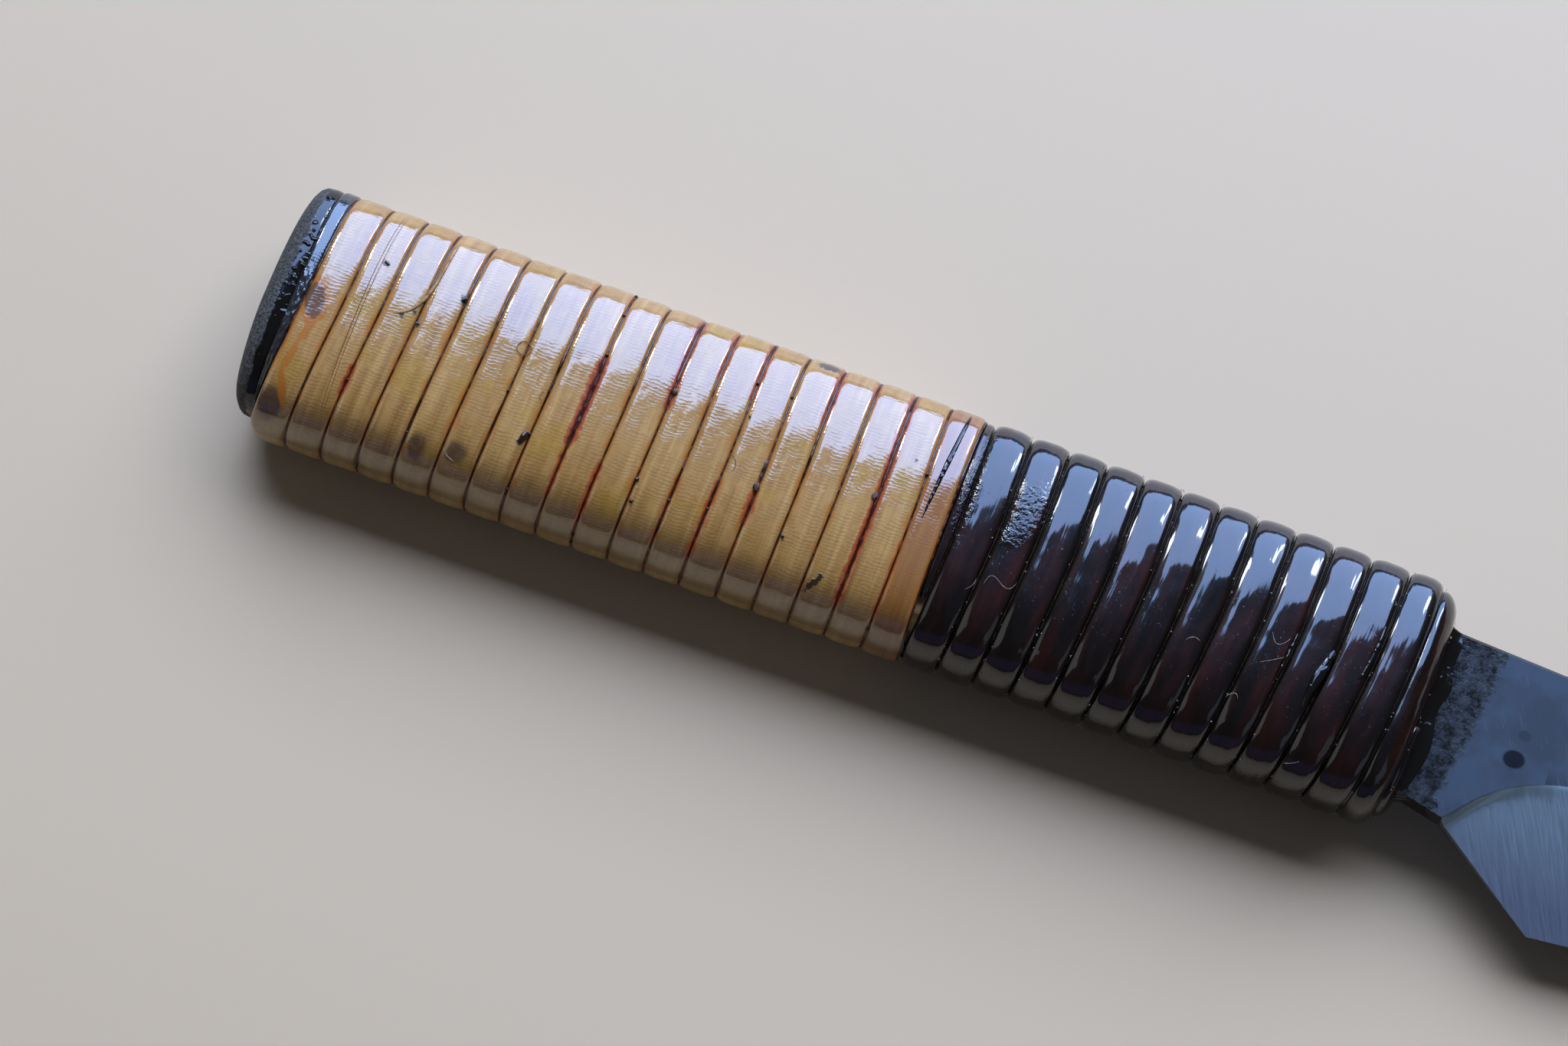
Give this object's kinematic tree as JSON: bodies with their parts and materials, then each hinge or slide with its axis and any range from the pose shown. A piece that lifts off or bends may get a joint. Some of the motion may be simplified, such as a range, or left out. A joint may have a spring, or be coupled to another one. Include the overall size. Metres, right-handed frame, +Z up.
{
  "type": "carpenter's knife",
  "caption": "Carpenter's knife: a flat-backed single-bevel blade with a hidden tang in a two-part wooden core, wound with natural and black-lacquered cane.",
  "frame": {"origin": "under the middle of the knife's outline, on the surface that the handle lies on", "axes": "+X runs along the handle towards the blade's point, +Y towards the spine and +Z up through the bevelled face"},
  "size_m": [0.2264, 0.0332, 0.016],
  "materials": {
    "blade_steel": "dark satin steel with fine scratches and a lighter ground bevel",
    "core_wood": "plain pale wood, hidden under the winding",
    "peg_bamboo": "split bamboo, hidden under the winding",
    "black_lacquer": "thick black lacquer, matte and grainy at the rim, glossy with small drops inside",
    "natural_cane": "honey-coloured split cane with fine striations under clear gloss lacquer",
    "black_cane": "split cane under thick glossy red-black lacquer"
  },
  "bodies": {
    "root": {"blade_with_tang": "blade_steel", "core_front_half": "core_wood", "core_back_half": "core_wood", "tang_peg_front": "peg_bamboo", "tang_peg_rear": "peg_bamboo", "butt_cap": "black_lacquer", "shoulder_seal": "black_lacquer", "natural_cane_winding": "natural_cane", "black_cane_winding": "black_cane"}
  },
  "joints": []
}
